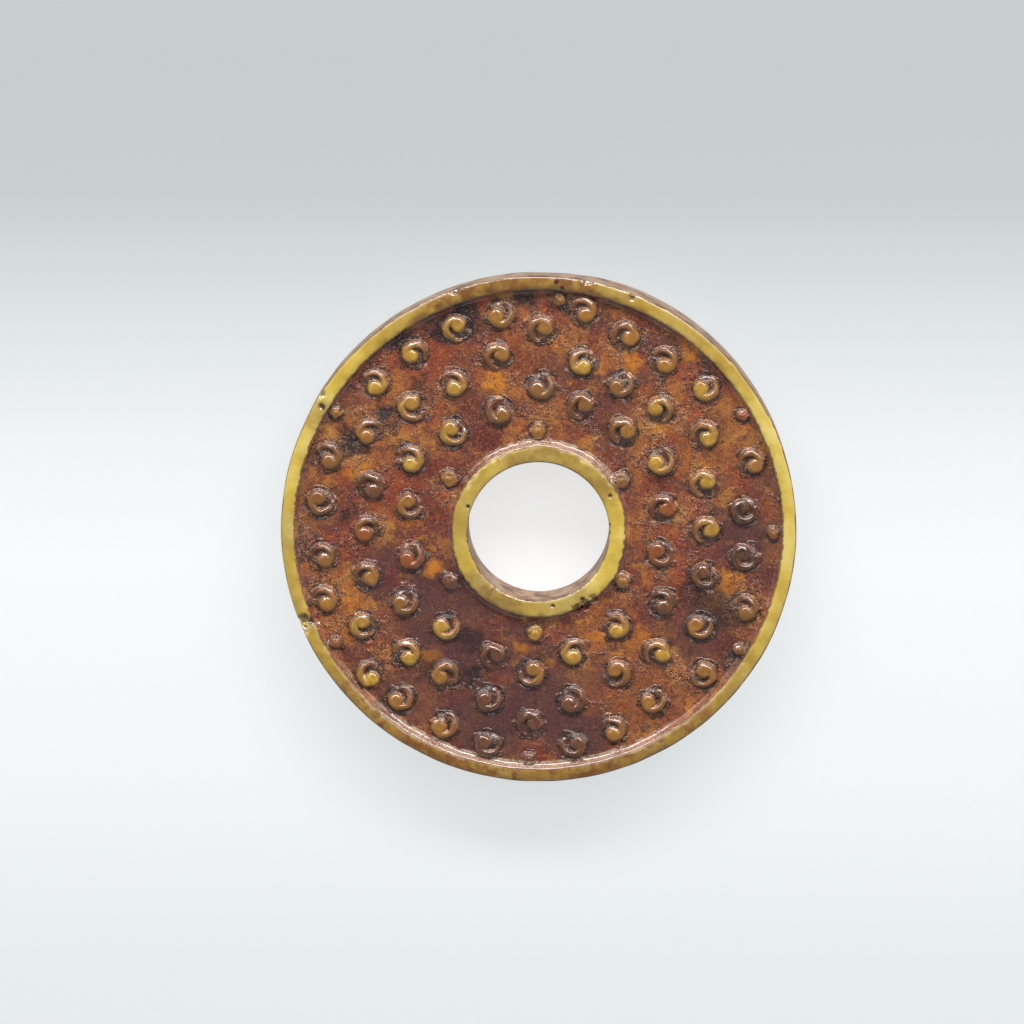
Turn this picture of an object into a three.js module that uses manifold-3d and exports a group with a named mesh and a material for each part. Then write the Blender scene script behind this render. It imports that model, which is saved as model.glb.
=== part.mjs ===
// Jade bi disc: a flat stone ring with a plain raised border round its edge and round its
// hole. Rows of raised comma curls stand on the sunken field of the front, and plain grains
// on the field of the back. The disc lies on its back.
// Millimetres, +Z up out of the front face, origin in the middle of the underside.

import * as THREE from 'three';
import { mergeVertices } from 'three/addons/utils/BufferGeometryUtils.js';
import Module from 'manifold-3d';

const wasm = await Module();
wasm.setup();

// The disc
const outerDiameter = 80;
const holeDiameter = 22;
const thickness = 8;
const outerBorderWidth = 2.1;
const innerBorderWidth = 2.4;
const borderSlope = 0.95; // width of the slope from a border down to the field
const fieldDepth = 1; // depth of each field below its borders
const edgeEase = 0.25; // small slope along the edges of the rim and of the hole
const roundSteps = 64;

// The rows of carving: columns side by side, every second one half a pitch lower
const columnPitch = 6.53;
const rowPitch = 7.7;
const columnLean = 1.43; // degrees, tops to the right
const rowLean = -0.28; // degrees
const patternShift = [-0.51, 0.03];
const carvingDrift = 0.4; // one step of a curl off its place, as the hand-cut rows show
const rimReach = 0.85; // a place this far outside the field still gets a small grain
const strayGrainAngle = 85; // degrees, a small grain cut between two columns at the rim

// The carved forms
const reliefDrop = 0.15; // tops of the carving below the borders
const reliefRoot = 0.4; // overlap of a carved form with the stone under it
const curlRadius = 2.15;
const headRadius = 1.2;
const headOffset = 0.85; // middle of the head from the middle of the curl
const headAngle = 240; // degrees from the tip of the tail
const tailWidth = 1.1;
const tipWidth = 0.6;
const grooveEnd = 154; // degrees from the tip, where the groove meets the head
const curlLean = 0.2; // how far the sides of a curl lean in
const grainRadius = 1.45;
const smallGrainRadius = 1.1;
const grainLean = 0.42;
const frontGrainSides = 8;
const backGrainSides = 6;

// The old damage
const rimChipRadius = 1.1;
const rimChipAngle = 202;
const ringChipRadius = 1;
const ringChipAngle = 300;
const chipSink = 0.3; // middle of a chip below the border

// The carver's plan of the front: one string for each column from left to right, one word
// for each place from top to bottom, about the middle row. L and R are a curl whose tail
// winds left or right from its head, with the hour on a clock face that the tip points to.
// An o is a plain grain and a dash an empty place. The letters n, s, e and w move the
// place by one drift step each.
const firstColumn = -5;
const carversPlan = [
  'o L10e L3wwn L9sw L9n o',
  'L10ee R3 L9ess R3 L8n L4w R1ee',
  'R4enn L4 L10s L3.5 L12es L1w L9s L12.5ww',
  'L5nn L10 L3 own - os L1.5w R4.5w L12.5sw',
  'L12.5ess L6n R12.5es - - - - L6ess L1 L2n',
  '- L6nn L12es on - - - oess R9n L6.5 o',
  'L9 R1.5s L6n - - - - R2 L11.5 R10en',
  'L8 L12.5w L6.5n on - oee L10n R7en L10ss',
  'L10w R5.5ww L12.5sw L7.5 L2.5n L9.5en L7.5 L1w',
  'L1sw L8.5w L6w L7en L3.5enn L2n R8een',
  'o L8.5es L2.5sw L3 L10es on',
  'o',
];
const plainCurl = 'L10';

const outerRadius = outerDiameter / 2;
const holeRadius = holeDiameter / 2;
const rimInner = outerRadius - outerBorderWidth;
const ringOuter = holeRadius + innerBorderWidth;
const fieldOuter = rimInner - borderSlope;
const fieldInner = ringOuter + borderSlope;
const frontField = thickness - fieldDepth;
const backField = fieldDepth;
const reliefHeight = fieldDepth - reliefDrop;

const radians = THREE.MathUtils.degToRad;

function polar(radius, degrees, middle = [0, 0]) {
  const angle = radians(degrees);
  return new THREE.Vector2(
    middle[0] + radius * Math.cos(angle),
    middle[1] + radius * Math.sin(angle),
  );
}

// A closed geometry as a solid that can be joined and cut
function toSolid(geometry) {
  const bare = geometry.clone();
  bare.deleteAttribute('normal');
  bare.deleteAttribute('uv');
  const merged = mergeVertices(bare, 1e-4);
  return new wasm.Manifold(new wasm.Mesh({
    numProp: 3,
    vertProperties: new Float32Array(merged.attributes.position.array),
    triVerts: new Uint32Array(merged.index.array),
  }));
}

function toGeometry(solid) {
  const mesh = solid.getMesh();
  const geometry = new THREE.BufferGeometry();
  geometry.setAttribute('position', new THREE.BufferAttribute(mesh.vertProperties, 3));
  geometry.setIndex(new THREE.BufferAttribute(mesh.triVerts, 1));
  geometry.computeVertexNormals();
  return geometry;
}

// The plain ring: its section, from the hole over the front to the rim and back underneath
function plainRing() {
  const front = [
    [holeRadius, thickness - edgeEase],
    [holeRadius + edgeEase, thickness],
    [ringOuter, thickness],
    [fieldInner, frontField],
    [fieldOuter, frontField],
    [rimInner, thickness],
    [outerRadius - edgeEase, thickness],
    [outerRadius, thickness - edgeEase],
  ];
  const back = front.map(([radius, height]) => [radius, thickness - height]).reverse();
  const section = [...front, ...back, front[0]].reverse();
  const points = section.map(([radius, height]) => new THREE.Vector2(radius, height));
  const geometry = new THREE.LatheGeometry(points, roundSteps);
  geometry.rotateX(Math.PI / 2);
  return toSolid(geometry);
}

// A raised form of the outline, standing on z = 0, its root sunk into the stone
function raised(outline, lean) {
  const geometry = new THREE.ExtrudeGeometry(new THREE.Shape(outline), {
    depth: reliefRoot,
    steps: 1,
    bevelEnabled: true,
    bevelThickness: reliefHeight,
    bevelSize: lean,
    bevelOffset: -lean,
    bevelSegments: 1,
  });
  geometry.translate(0, 0, -reliefRoot);
  return geometry;
}

// A comma curl with the tip of its tail at 0 degrees. The outline runs from the tip along
// the outside of the tail, round the head, and back along the groove.
function curlOutline() {
  const outsideSteps = 7;
  const headSteps = 5;
  const insideSteps = 3;
  const headMiddle = polar(headOffset, headAngle).toArray();
  const headReach = headOffset + headRadius;
  const points = [];
  for (let i = 0; i <= outsideSteps; i += 1) {
    const share = i / outsideSteps;
    points.push(polar(THREE.MathUtils.lerp(curlRadius, headReach, share), headAngle * share));
  }
  const grooveHead = polar(curlRadius - tailWidth, grooveEnd).sub(new THREE.Vector2(...headMiddle));
  const turn = 360 + THREE.MathUtils.radToDeg(grooveHead.angle()) - headAngle;
  for (let i = 1; i <= headSteps; i += 1) {
    points.push(polar(headRadius, headAngle + (turn * i) / (headSteps + 0.5), headMiddle));
  }
  for (let i = 0; i <= insideSteps; i += 1) {
    const share = i / insideSteps;
    const width = THREE.MathUtils.lerp(tailWidth, tipWidth, share * share);
    points.push(polar(curlRadius - width, grooveEnd * (1 - share)));
  }
  return points;
}

function grainOutline(radius, sides) {
  const points = [];
  for (let i = 0; i < sides; i += 1) {
    points.push(polar(radius, (360 * (i + 0.5)) / sides));
  }
  return points;
}

// The tail of a left curl winds back clockwise from its tip, so its outline is mirrored
function curlAt(place) {
  const side = place.winding === 'L' ? -1 : 1;
  const outline = curlOutline().map((point) => new THREE.Vector2(point.x, side * point.y));
  const geometry = raised(outline, curlLean);
  geometry.rotateZ(radians(90 - 30 * place.hour));
  geometry.translate(place.x, place.y, frontField);
  return toSolid(geometry);
}

function frontGrainAt(place) {
  const geometry = raised(grainOutline(place.radius, frontGrainSides), grainLean);
  geometry.translate(place.x, place.y, frontField);
  return toSolid(geometry);
}

function backGrainAt(place) {
  const geometry = raised(grainOutline(place.radius, backGrainSides), grainLean);
  geometry.rotateX(Math.PI);
  geometry.translate(place.x, place.y, backField);
  return toSolid(geometry);
}

// The word of the plan for a place, or a plain curl beyond the plan
function planWord(column, row) {
  const words = (carversPlan[column - firstColumn] ?? plainCurl).split(' ');
  return words[(words.length - 1) / 2 - row] ?? plainCurl;
}

// Everything that is carved at one place of the rows, or null where nothing is
function placeAt(column, row) {
  const word = planWord(column, row);
  const [, kind, hour, moves] = word.match(/^([LRo-])([\d.]*)([nsew]*)$/);
  const steps = (letter) => moves.split(letter).length - 1;
  const x = patternShift[0] + columnPitch * column + rowPitch * row * Math.tan(radians(columnLean));
  const y = patternShift[1] + rowPitch * row + columnPitch * column * Math.tan(radians(rowLean));
  const distance = Math.hypot(x, y);
  const place = {
    x: x + carvingDrift * (steps('e') - steps('w')),
    y: y + carvingDrift * (steps('n') - steps('s')),
  };
  const plain = kind === 'o' || kind === '-' ? plainCurl : word;
  const fitsCurl = distance - curlRadius >= fieldInner && distance + curlRadius <= rimInner;
  if (fitsCurl) {
    place.winding = plain[0];
    place.hour = parseFloat(plain.slice(1));
    return place;
  }
  if (distance < (fieldInner + fieldOuter) / 2) {
    place.radius = grainRadius;
    return distance >= fieldInner ? place : null;
  }
  if (distance > rimInner + rimReach || kind === '-') {
    return null;
  }
  return smallGrainPlace(Math.atan2(place.y, place.x), distance);
}

// A small grain, drawn in from the rim so that it touches the foot of the slope
function smallGrainPlace(angle, distance) {
  const reach = Math.min(distance, fieldOuter - smallGrainRadius / 2);
  return { x: reach * Math.cos(angle), y: reach * Math.sin(angle), radius: smallGrainRadius };
}

function allPlaces() {
  const places = [smallGrainPlace(radians(strayGrainAngle), outerRadius)];
  const columns = Math.ceil(outerRadius / columnPitch);
  const rows = Math.ceil(outerRadius / rowPitch);
  for (let column = -columns; column <= columns; column += 1) {
    const half = Math.abs(column % 2) / 2;
    for (let row = half - rows; row <= rows; row += 1) {
      places.push(placeAt(column, row));
    }
  }
  return places.filter((place) => place !== null);
}

// A broken place in a border: a rough bite with flat faces
function chip(radius, distance, angle) {
  const middle = polar(distance, angle);
  const geometry = new THREE.IcosahedronGeometry(radius, 0);
  geometry.rotateZ(radians(angle));
  geometry.translate(middle.x, middle.y, thickness - chipSink + radius / 2);
  return toSolid(geometry);
}

function jadeDisc() {
  const places = allPlaces();
  const frontForms = places.map((place) => (place.winding ? curlAt(place) : frontGrainAt(place)));
  const backForms = places.map((place) => backGrainAt({
    ...place,
    radius: place.radius ?? grainRadius,
  }));
  let solid = plainRing();
  for (const form of [...frontForms, ...backForms]) {
    solid = solid.add(form);
  }
  solid = solid.subtract(chip(rimChipRadius, outerRadius, rimChipAngle));
  solid = solid.subtract(chip(ringChipRadius, ringOuter, ringChipAngle));
  return toGeometry(solid);
}

const jade = new THREE.MeshStandardMaterial({
  color: 0x8a4a2a,
  roughness: 0.32,
  metalness: 0,
});

const disc = new THREE.Mesh(jadeDisc(), jade);
disc.name = 'bi_disc';

const part = new THREE.Group();
part.add(disc);

export default part;
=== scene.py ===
"""Looks of the jade bi disc: the carved stone, the floor, the lamps and the camera.

The disc lies on its back with its front up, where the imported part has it.
Lengths are millimetres until a mesh, a lamp or the camera is made from them.
"""

import math
import random
import re

import bpy
import numpy as np
from mathutils import Matrix, Vector


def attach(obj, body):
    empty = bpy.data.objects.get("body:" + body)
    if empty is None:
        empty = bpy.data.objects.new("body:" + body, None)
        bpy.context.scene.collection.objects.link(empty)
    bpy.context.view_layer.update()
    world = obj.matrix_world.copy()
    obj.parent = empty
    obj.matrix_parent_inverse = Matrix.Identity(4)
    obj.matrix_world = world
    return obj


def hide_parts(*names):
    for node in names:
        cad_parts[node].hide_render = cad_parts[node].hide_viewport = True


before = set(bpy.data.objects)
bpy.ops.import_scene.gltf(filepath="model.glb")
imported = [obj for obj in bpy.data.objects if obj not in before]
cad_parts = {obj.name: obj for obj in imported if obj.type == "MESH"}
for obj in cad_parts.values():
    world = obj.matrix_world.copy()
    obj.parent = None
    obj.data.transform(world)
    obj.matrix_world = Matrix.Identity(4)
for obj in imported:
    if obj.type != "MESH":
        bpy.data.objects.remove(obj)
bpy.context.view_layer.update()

MM = 0.001

# The ring
THICKNESS = 8.0
OUTER_RADIUS = 40.0
HOLE_RADIUS = 11.0
RIM_INNER = 37.9
RING_OUTER = 13.4
BORDER_SLOPE = 0.95
FIELD_DEPTH = 1.0
EDGE_EASE = 0.25
# The worn corner of a face, as (mm outwards, mm down) from the edge of its flat top
EDGE_BEVEL = ((0.25, 0.25), (0.22, 0.16), (0.17, 0.118), (0.10, 0.065), (0.03, 0.012))
FIELD_OUTER = RIM_INNER - BORDER_SLOPE
FIELD_INNER = RING_OUTER + BORDER_SLOPE
FRONT_FIELD = THICKNESS - FIELD_DEPTH
SPIN_STEPS = 360
MOST_TRIANGLES = 190_000

# The rows of carving
COLUMN_PITCH = 6.53
ROW_PITCH = 7.7
COLUMN_LEAN = math.radians(1.43)
ROW_LEAN = math.radians(-0.28)
PATTERN_SHIFT = (-0.51, 0.03)
CARVING_DRIFT = 0.4
RIM_REACH = 0.85
STRAY_GRAIN_ANGLE = math.radians(85)

# The carved forms
CURL_RADIUS = 2.2
HEAD_RADIUS = 1.36
HEAD_OFFSET = 0.8
HEAD_ANGLE = 240.0
TAIL_WIDTH = 1.44
TIP_WIDTH = 0.72
GROOVE_END = 154.0
TAIL_SLOPE = 0.66
GROOVE_SLOPE = 0.34
HEAD_SLOPE = 0.6
TIP_HEIGHT = 0.5
SHOULDER_SHARES = (0, 0.25, 0.95, 1)
SHOULDER_RISES = (0, 0.60, 0.98, 1)
RELIEF_DROP = 0.14
GRAIN_RADIUS = 1.45
GRAIN_SLOPE = 0.85
SMALL_GRAIN_RADIUS = 1.1
MOAT_RADIUS = 2.95
MOAT_WALL = 0.85
MOAT_DEPTH = 0.24
GROOVE_FLOOR = 0.34  # of the curl's height
GROOVE_EDGE = (0.62 * CURL_RADIUS, 0.95 * CURL_RADIUS)
SOOT_AND_SHADE_EDGE = (-0.8, 0.25)  # from the lip of the moat
GRAIN_HEIGHT = 0.96

# Uneven stone, as (height, length of the waves, seed)
FRONT_WAVES = ((0.05, 6.0, 1), (0.035, 2.3, 2))
BACK_WAVES = ((0.05, 6.5, 21), (0.03, 2.6, 22))
CALM_INNER, CALM_OUTER = 17.5, 34.5  # between these radii nothing drifts
CLEARANCE = 0.004  # kept free inside the solid's top and bottom

# Where the mesh is cut finer: reach round a curl, a bite and a grain of the back
CURL_GROUND = 3.1
BITE_GROUND = 1.4
GRAIN_GROUND = 1.9
FIELD_MARGIN = 0.5
FIELD_EDGE = -0.6  # a face this far outside the borders belongs to a field

# The carver's plan, one string for each column from left to right and one word for each
# place from top to bottom. L or R and an hour: a curl, the winding of its tail and where
# the tip points. o: a plain grain. -: an empty place. n, s, e, w: one drift step.
# The letter after the colon is the tint of its top.
FIRST_COLUMN = -5
CARVERS_PLAN = (
    "o:h L10e:o L3wwn:o L9sw:o L9n:h o:r",
    "L10ee:y R3:h L9ess:m R3:r L8n:h L4w:y R1ee:y",
    "R4enn:y L4:y L10s:y L3.5:h L12es:r L1w:o L9s:y L12.5ww:h",
    "L5nn:y L10:y L3:y own:h - os:m L1.5w:y R4.5w:h L12.5sw:h",
    "L12.5ess:h L6n:h R12.5es:o - - - - L6ess:m L1:m L2n:m",
    "- L6nn:h L12es:o on:h - - - oess:y R9n:h L6.5:m o:m",
    "L9:h R1.5s:y L6n:o - - - - R2:y L11.5:m R10en:m",
    "L8:h L12.5w:o L6.5n:h on:o - oee:h L10n:y R7en:h L10ss:h",
    "L10w:h R5.5ww:y L12.5sw:y L7.5:r L2.5n:r L9.5en:m L7.5:y L1w:h",
    "L1sw:y L8.5w:y L6w:y L7en:y L3.5enn:m L2n:h R8een:h",
    "o:r L8.5es:h L2.5sw:k L3:k L10es:o on:o",
    "o:o",
)
PLAIN_CURL = "L10:h"
TINTS = {
    "y": (0.52, 0.31, 0.045),
    "h": (0.37, 0.175, 0.036),
    "o": (0.25, 0.120, 0.034),
    "r": (0.29, 0.080, 0.024),
    "m": (0.120, 0.055, 0.036),
    "k": (0.045, 0.036, 0.028),
}
# Brown of the tops where they are worn, and where their painted glow fades towards +y
WORN_AND_UNGLOWING_BROWN = (0.21, 0.085, 0.04)
USUAL_BRIGHTNESS = 0.25

# Hand-cut edges: how far each one wanders from its circle, as (degrees, mm) readings
HOLE_WANDER = (
    (0, -0.2), (20, -0.12), (45, 0), (180, 0), (200, 0.1), (240, -0.05), (275, 0.12),
    (340, -0.05),
)
RING_WANDER = (
    (0, 0), (20, 0.23), (60, 0.23), (70, 0.08), (90, 0.3), (100, 0.03), (170, 0.03), (180, -0.14),
    (210, 0.16), (240, 0.06), (270, 0.03), (300, 0.1), (330, 0.35), (340, 0.08),
)
RIM_WANDER = (
    (0, 0.05), (30, -0.05), (60, 0.04), (90, 0.11), (120, -0.11), (150, -0.06), (180, 0.11),
    (210, -0.01), (240, 0.1), (270, 0.06), (300, -0.04), (330, -0.14),
)
FACE_EDGE_WANDER = (
    (0, 0), (70, 0), (87, -0.15), (100, 0.12), (110, -0.14), (130, 0), (150, 0.1), (200, 0.1),
    (225, 0), (260, 0.08), (280, 0), (300, -0.06), (345, -0.06),
)
# How far the rim's wall is worn away at its back edge
BACK_EDGE_WEAR = ((0, 0), (70, 0), (85, 0.36), (100, 0.34), (120, 0.27), (135, 0.05), (150, 0))
WALL_RIPPLE = 0.03
WALL_EDGE = (0.03, 0.09)  # depth under a wall over which its finish fades out

# Bites out of the front, as (x, y, reach, depth), with x and y from the disc's middle
BITES = (
    (-36.8, -14.3, 1.3, 0.9), (-36.4, -15.7, 0.8, 0.5), (-35.0, -14.3, 0.8, 0.4),
    (6.1, -12.2, 0.9, 0.75), (7.3, -11.6, 1.0, 0.8), (8.6, -10.6, 0.8, 0.5), (6.9, -10.6, 0.4, 0.3),
    (11.1, 5.8, 0.35, 0.25), (-10.9, 4.0, 0.4, 0.2), (2.3, -11.7, 0.35, 0.25),
    (-33.6, 19.7, 0.5, 0.3), (14.4, 36.8, 0.7, 0.3), (7.6, 39.3, 0.9, 0.4), (-13.0, 37.7, 0.8, 0.35),
    (-33.4, 21.7, 0.8, 0.3), (-11.0, -23.9, 1.2, 0.16), (-9.5, -22.9, 1.1, 0.2), (-8.3, -23.9, 1.0, 0.15),
    (-10.0, -24.8, 0.9, 0.14), (-19.8, -8.4, 0.6, 0.25), (-21.0, -8.0, 0.5, 0.2),
)


def read_word(column, row):
    """Kind, hour, moves and tint of a place in the carver's plan."""
    index = column - FIRST_COLUMN
    words = CARVERS_PLAN[index].split() if 0 <= index < len(CARVERS_PLAN) else []
    place = (len(words) - 1) / 2 - row
    known = place == int(place) and 0 <= place < len(words)
    word = words[int(place)] if known else PLAIN_CURL
    return re.fullmatch(r"([LRo-])([\d.]*)([nsew]*):?(\w?)", word).groups()


def small_grain(angle, distance, tint):
    """A small grain that touches the foot of the rim's slope."""
    reach = min(distance, FIELD_OUTER - SMALL_GRAIN_RADIUS / 2)
    return {
        "x": reach * math.cos(angle),
        "y": reach * math.sin(angle),
        "radius": SMALL_GRAIN_RADIUS,
        "tint": tint,
    }


def carved_place(column, row):
    """What is carved at one place of the rows, or None where nothing is."""
    kind, hour, moves, tint = read_word(column, row)
    x = PATTERN_SHIFT[0] + COLUMN_PITCH * column + ROW_PITCH * row * math.tan(COLUMN_LEAN)
    y = PATTERN_SHIFT[1] + ROW_PITCH * row + COLUMN_PITCH * column * math.tan(ROW_LEAN)
    distance = math.hypot(x, y)
    place = {
        "x": x + CARVING_DRIFT * (moves.count("e") - moves.count("w")),
        "y": y + CARVING_DRIFT * (moves.count("n") - moves.count("s")),
        "tint": tint or "h",
    }
    if distance - CURL_RADIUS >= FIELD_INNER and distance + CURL_RADIUS <= RIM_INNER:
        place["winding"] = -1 if kind == "L" else 1
        place["tip"] = math.radians(90 - 30 * float(hour or 10))
        return place
    if distance < (FIELD_INNER + FIELD_OUTER) / 2:
        place["radius"] = GRAIN_RADIUS
        return place if distance >= FIELD_INNER else None
    if distance > RIM_INNER + RIM_REACH or kind == "-":
        return None
    return small_grain(math.atan2(place["y"], place["x"]), distance, place["tint"])


def carved_places():
    """Every carved place of the front, in the order of the columns."""
    places = [small_grain(STRAY_GRAIN_ANGLE, OUTER_RADIUS, "o")]
    columns = math.ceil(OUTER_RADIUS / COLUMN_PITCH)
    rows = math.ceil(OUTER_RADIUS / ROW_PITCH)
    for column in range(-columns, columns + 1):
        half = column % 2 / 2
        for step in range(2 * rows + 1):
            places.append(carved_place(column, step - rows + half))
    return [place for place in places if place]


def deselect_all():
    """Leaves nothing selected, so that an operator acts on the new piece alone."""
    bpy.ops.object.select_all(action="DESELECT")


def edit(select="VERT"):
    """Edit mode, with vertices, edges or faces to select."""
    bpy.ops.object.mode_set(mode="EDIT")
    bpy.ops.mesh.select_mode(type=select)


def leave_edit():
    """Back to object mode, which also writes the edit to the mesh."""
    bpy.ops.object.mode_set(mode="OBJECT")


def spaced(start, end, step):
    """Evenly spaced values from start up to end, about a step apart, without the end."""
    count = max(1, round(abs(end - start) / step))
    return [start + (end - start) * i / count for i in range(count)]


def half_section(top_step, slope_steps, field_step, wall_step):
    """Half the ring's section, from the middle of the hole's wall over a face to the rim's."""
    middle = THICKNESS / 2
    shoulder = THICKNESS - EDGE_EASE
    face_inner = HOLE_RADIUS + EDGE_EASE
    face_outer = OUTER_RADIUS - EDGE_EASE
    points = [(HOLE_RADIUS, z) for z in spaced(middle, shoulder, wall_step)]
    points += [(face_inner - out, THICKNESS - down) for out, down in EDGE_BEVEL]
    points += [(radius, THICKNESS) for radius in spaced(face_inner, RING_OUTER, top_step)]
    drops = [FIELD_DEPTH * math.sin(math.pi / 2 * i / slope_steps) for i in range(slope_steps)]
    widths = [BORDER_SLOPE * i / slope_steps for i in range(slope_steps)]
    slope = list(zip(widths, drops))
    points += [(RING_OUTER + width, THICKNESS - drop) for width, drop in slope]
    points += [(radius, FRONT_FIELD) for radius in spaced(FIELD_INNER, FIELD_OUTER, field_step)]
    points.append((FIELD_OUTER, FRONT_FIELD))
    points += [(RIM_INNER - width, THICKNESS - drop) for width, drop in reversed(slope[1:])]
    points += [(radius, THICKNESS) for radius in spaced(RIM_INNER, face_outer, top_step)]
    points.append((face_outer, THICKNESS))
    points += [(face_outer + out, THICKNESS - down) for out, down in reversed(EDGE_BEVEL)]
    points += [(OUTER_RADIUS, z) for z in spaced(shoulder, middle, wall_step)]
    return points


def ring_section():
    """The closed section: over the front to the rim, and back underneath to the hole."""
    front = half_section(top_step=0.3, slope_steps=8, field_step=0.52, wall_step=0.75)
    back = half_section(top_step=0.7, slope_steps=5, field_step=0.8, wall_step=0.75)
    back.append((OUTER_RADIUS, THICKNESS / 2))
    return front + [(radius, THICKNESS - z) for radius, z in reversed(back)]


def spun_ring(name):
    """The plain ring: its section drawn point by point and spun round the hole."""
    deselect_all()
    section = ring_section()
    start = Vector((section[0][0], 0, section[0][1])) * MM
    bpy.ops.mesh.primitive_plane_add(size=MM, location=(0, 0, 0))
    ring = bpy.context.object
    ring.name = name
    edit()
    bpy.ops.mesh.select_all(action="SELECT")
    bpy.ops.mesh.merge(type="CENTER")
    bpy.ops.transform.translate(value=start)
    for (radius, z), (last_radius, last_z) in zip(section[1:] + section[:1], section):
        step = Vector((radius - last_radius, 0, z - last_z)) * MM
        bpy.ops.mesh.extrude_region_move(TRANSFORM_OT_translate={"value": step})
    bpy.ops.mesh.select_all(action="SELECT")
    bpy.ops.mesh.remove_doubles(threshold=0.01 * MM)
    bpy.ops.mesh.spin(steps=SPIN_STEPS, angle=math.tau, center=(0, 0, 0), axis=(0, 0, 1))
    bpy.ops.mesh.select_all(action="SELECT")
    bpy.ops.mesh.remove_doubles(threshold=0.01 * MM)
    bpy.ops.mesh.normals_make_consistent(inside=False)
    leave_edit()
    return ring


def vertex_places(piece):
    """The places of the piece's vertices in millimetres, one row each."""
    places = np.empty(len(piece.data.vertices) * 3, np.float32)
    piece.data.vertices.foreach_get("co", places)
    return places.reshape(-1, 3).astype(float) / MM


def move_vertices(piece, places):
    """Puts the piece's vertices at the places, given in millimetres."""
    piece.data.vertices.foreach_set("co", (places * MM).astype(np.float32).ravel())
    piece.data.update()


def face_middles(piece):
    """The middles of the piece's faces in millimetres, one row each."""
    middles = np.empty(len(piece.data.polygons) * 3, np.float32)
    piece.data.polygons.foreach_get("center", middles)
    return middles.reshape(-1, 3) / MM


def cut_finer(piece, chosen, cuts):
    """Subdivides the chosen faces of the piece."""
    edit("FACE")
    bpy.ops.mesh.select_all(action="DESELECT")
    leave_edit()
    piece.data.polygons.foreach_set("select", chosen)
    edit("FACE")
    bpy.ops.mesh.subdivide(number_cuts=cuts)
    leave_edit()


def near_places(middles, spots, reach):
    """Which of the points lie within reach of one of the (x, y) spots."""
    near = np.zeros(len(middles), bool)
    for x, y in spots:
        near |= np.hypot(middles[:, 0] - x, middles[:, 1] - y) < reach
    return near


def ripple(x, y, length, seed):
    """A smooth uneven surface between about -1 and 1, its waves about the length long."""
    draw = random.Random(seed)
    total = np.zeros_like(x)
    for _ in range(9):
        turn = draw.uniform(0, math.tau)
        wave = math.tau * draw.uniform(0.6, 1.5) / length
        total += np.sin(wave * (x * math.cos(turn) + y * math.sin(turn)) + draw.uniform(0, math.tau))
    return total / 4


def round_ripple(angle, lobes, seed):
    """A smooth uneven line round the disc between about -1 and 1."""
    draw = random.Random(seed)
    total = np.zeros_like(angle)
    for _ in range(7):
        total += np.sin(draw.randint(lobes // 2, lobes * 2) * angle + draw.uniform(0, math.tau))
    return total / 3.5


def wander(angle, readings, seed):
    """How far a hand-cut edge lies outside its circle at each angle."""
    degrees = [reading[0] for reading in readings]
    offsets = [reading[1] for reading in readings]
    slow = np.interp(np.degrees(angle), degrees, offsets, period=360)
    return slow + 0.06 * round_ripple(angle, 34, seed)


def eased(value, low, high):
    """0 below low, 1 above high and a smooth rise between them."""
    share = np.clip((value - low) / (high - low), 0, 1)
    return share * share * (3 - 2 * share)


def wander_of_edges(angle):
    """The wander of the hole's edge, the inner border, the rim's border and the outer edge."""
    return (
        wander(angle, HOLE_WANDER, 11),
        wander(angle, RING_WANDER, 12),
        wander(angle, RIM_WANDER, 13),
        wander(angle, FACE_EDGE_WANDER, 14) - 0.06,
    )


def rim_reach(angle, z):
    """How far out the worn wall of the rim stands."""
    wear = np.interp(np.degrees(angle), *zip(*BACK_EDGE_WEAR), period=360)
    rippled = OUTER_RADIUS - WALL_RIPPLE * (1 + round_ripple(angle, 20, 15))
    return rippled - wear * (1 - eased(z, 0, 6))


def drift_edges(places):
    """Moves the circles of the front and back in or out, as hand-cut edges run."""
    x, y, z = places.T
    radius = np.hypot(x, y)
    angle = np.arctan2(y, x)
    side = np.where(z > THICKNESS / 2, angle, angle + 2)  # the back wanders its own way
    hole, ring, rim, outer = wander_of_edges(side)
    knots = [HOLE_RADIUS, HOLE_RADIUS + EDGE_EASE, RING_OUTER, FIELD_INNER, CALM_INNER]
    knots += [CALM_OUTER, FIELD_OUTER, RIM_INNER, OUTER_RADIUS - EDGE_EASE, OUTER_RADIUS]
    wanders = [0, hole, ring, 0.8 * ring, 0, 0, 0.8 * rim, rim, outer, 0]
    moved = radius.copy()
    for i, offset in enumerate(wanders):
        moved += np.interp(radius, knots, np.eye(len(knots))[i]) * offset
    moved -= (OUTER_RADIUS - rim_reach(angle, z)) * eased(radius, RIM_INNER, OUTER_RADIUS)
    return np.stack([places[:, 0] * moved / radius, places[:, 1] * moved / radius, z], 1)


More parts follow.
